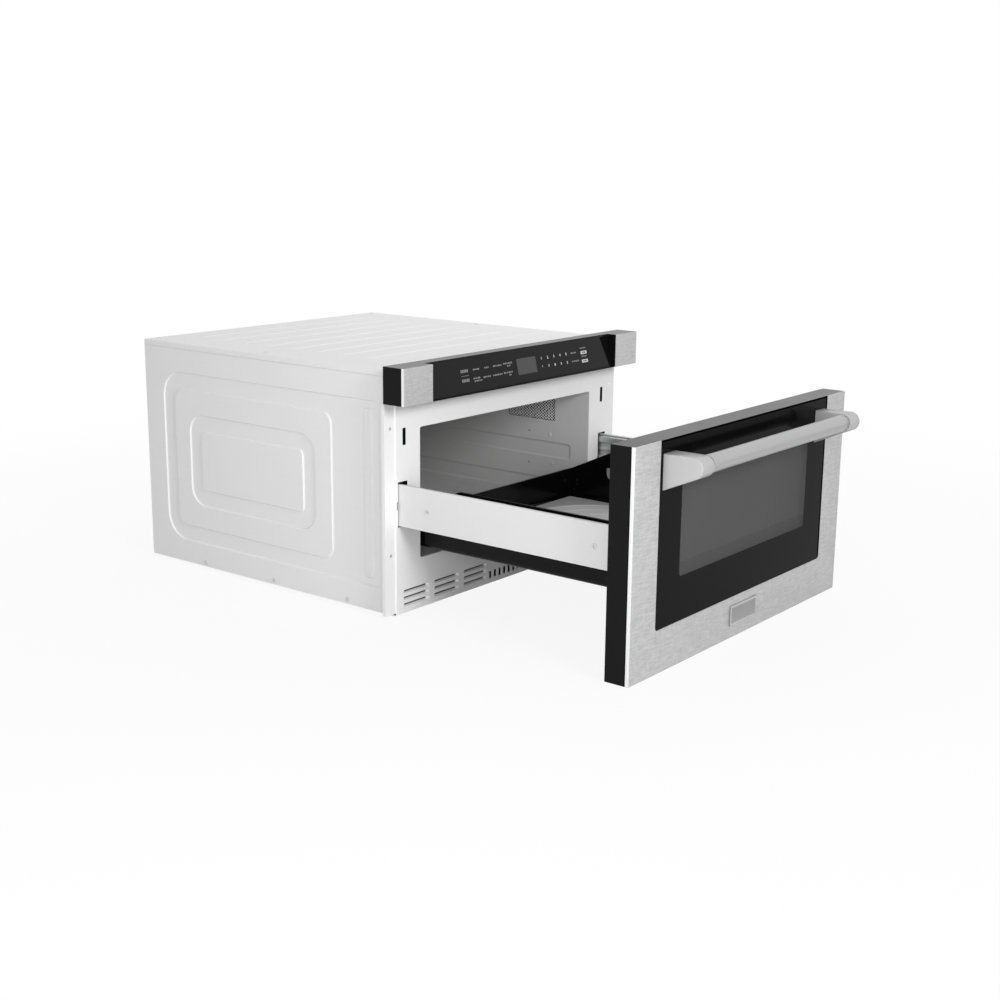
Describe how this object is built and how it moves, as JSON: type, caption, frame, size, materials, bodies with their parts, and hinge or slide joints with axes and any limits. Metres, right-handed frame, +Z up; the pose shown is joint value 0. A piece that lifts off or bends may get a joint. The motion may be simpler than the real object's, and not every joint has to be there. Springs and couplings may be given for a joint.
{
  "type": "microwave drawer",
  "caption": "Built-in microwave oven whose door, pan and side rails slide out as a motor-driven drawer, with a bar handle and a sloping touch panel.",
  "frame": {"origin": "underside of the base, in the middle of the front plate's front face", "axes": "+X to the right seen from the front, +Y into the cabinet, +Z up; the drawer slides out along -Y"},
  "size_m": [0.604, 1.061, 0.386],
  "materials": {
    "white_paint": "satin white powder coat",
    "zinc": "plain zinc-coated sheet",
    "stainless": "brushed stainless steel",
    "satin_metal": "satin metal",
    "black_plastic": "fine-grained black plastic",
    "black_gloss": "glossy black plastic",
    "dark_glass": "dark tinted glass",
    "control_glass": "black printed glass",
    "black_enamel": "glossy black enamel",
    "black_sheet": "satin black paint",
    "ceramic": "smooth grey glass ceramic",
    "cavity_paint": "light grey cavity paint",
    "seal": "matt black seal",
    "copper": "enamelled copper winding",
    "core": "laminated steel",
    "nylon": "natural nylon",
    "fin": "plain aluminium",
    "board": "circuit board",
    "screw": "zinc-plated screw",
    "mica": "mica sheet"
  },
  "bodies": {
    "cabinet": {"base_plate": "zinc", "side_panel_left": "white_paint", "side_panel_right": "white_paint", "top_cover": "white_paint", "back_panel": "zinc", "front_plate": "white_paint", "cavity_liner": "cavity_paint", "vent_screen": "cavity_paint", "air_duct": "black_plastic", "cavity_lamp": "nylon", "stirrer_cover": "mica", "waveguide": "zinc", "magnetron": "zinc", "magnetron_fins": "fin", "transformer_core": "core", "transformer_coils": "copper", "capacitor": "fin", "power_board": "board", "cord_gland": "black_plastic", "fan_shroud": "black_plastic", "fan_motor": "core", "stirrer_motor": "nylon", "drive_motor": "black_plastic", "slide_fixed_left": "zinc", "slide_fixed_right": "zinc", "slide_brackets": "zinc", "latch_housings": "black_plastic", "interlock_switches": "nylon", "control_housing": "black_plastic", "control_cap_left": "stainless", "control_cap_right": "stainless", "control_glass": "control_glass", "display_module": "black_gloss", "top_screws": "screw", "base_screws": "screw"},
    "drawer": {"door_frame": "black_plastic", "door_skin": "stainless", "door_glass": "dark_glass", "window_screen": "black_sheet", "inner_panel": "black_sheet", "door_seal": "seal", "badge_plate": "satin_metal", "handle_tube": "satin_metal", "handle_bracket_left": "satin_metal", "handle_bracket_right": "satin_metal", "latch_hooks": "nylon", "drawer_pan": "black_enamel", "floor_tray": "ceramic", "pan_rivets": "screw", "side_rail_left": "white_paint", "side_rail_right": "white_paint", "slide_moving_left": "zinc", "slide_moving_right": "zinc", "drive_rack": "nylon", "rail_screws": "screw"},
    "slide_middle_left": {"slide_middle_left": "zinc"},
    "slide_middle_right": {"slide_middle_right": "zinc"},
    "fan": {"fan_blade": "black_plastic"},
    "stirrer": {"stirrer_blade": "fin"},
    "pinion": {"drive_pinion": "nylon"}
  },
  "joints": [
    {"name": "drawer_slide", "type": "slide", "parent": "cabinet", "child": "drawer", "axis": [0, 1, 0], "range_m": [0, 0.394]},
    {"name": "slide_middle_left_run", "type": "slide", "parent": "cabinet", "child": "slide_middle_left", "axis": [0, 1, 0], "range_m": [0, 0.197]},
    {"name": "slide_middle_right_run", "type": "slide", "parent": "cabinet", "child": "slide_middle_right", "axis": [0, 1, 0], "range_m": [0, 0.197]},
    {"name": "pinion_spin", "type": "hinge", "parent": "cabinet", "child": "pinion", "pos_m": [0.26, 0.024, 0.1305], "axis": [1, 0, 0], "range_deg": [-1673, 0]},
    {"name": "fan_spin", "type": "hinge", "parent": "cabinet", "child": "fan", "pos_m": [0.15, 0.545, 0.15], "axis": [0, 1, 0], "continuous": true},
    {"name": "stirrer_spin", "type": "hinge", "parent": "cabinet", "child": "stirrer", "pos_m": [0, 0.215, 0.2945], "axis": [0, 0, 1], "continuous": true}
  ],
  "couplings": [
    {"joint": "slide_middle_left_run", "follows": "drawer_slide", "ratio": 0.5},
    {"joint": "slide_middle_right_run", "follows": "drawer_slide", "ratio": 0.5},
    {"joint": "pinion_spin", "follows": "drawer_slide", "rad_per_m": -74.074}
  ]
}
